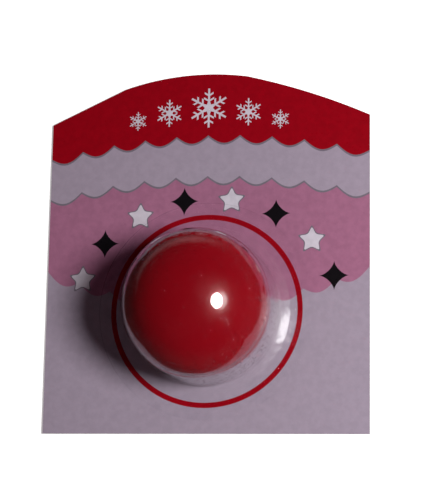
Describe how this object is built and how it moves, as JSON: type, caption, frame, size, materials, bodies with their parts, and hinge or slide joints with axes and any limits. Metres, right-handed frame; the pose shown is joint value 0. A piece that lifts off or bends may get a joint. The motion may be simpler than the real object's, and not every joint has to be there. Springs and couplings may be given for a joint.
{
  "type": "light-up ball nose on a blister card",
  "caption": "Hollow red ball nose that lights up, under a clear formed dome sealed on an arched printed backing card that lies flat.",
  "frame": {"origin": "middle of the card's outline, on its back face, where it lies on a surface", "axes": "+Z out of the card's front through the nose, +Y to the card's arched top, +X to its right"},
  "size_m": [0.12, 0.134, 0.0443],
  "materials": {
    "printed_board": "printed and varnished",
    "clear_plastic": "clear, thermoformed",
    "red_plastic": "glossy",
    "white_plastic": "plain moulded"
  },
  "bodies": {
    "root": {"card": "printed_board", "blister": "clear_plastic", "nose_shell": "red_plastic", "light_unit": "white_plastic"}
  },
  "joints": []
}
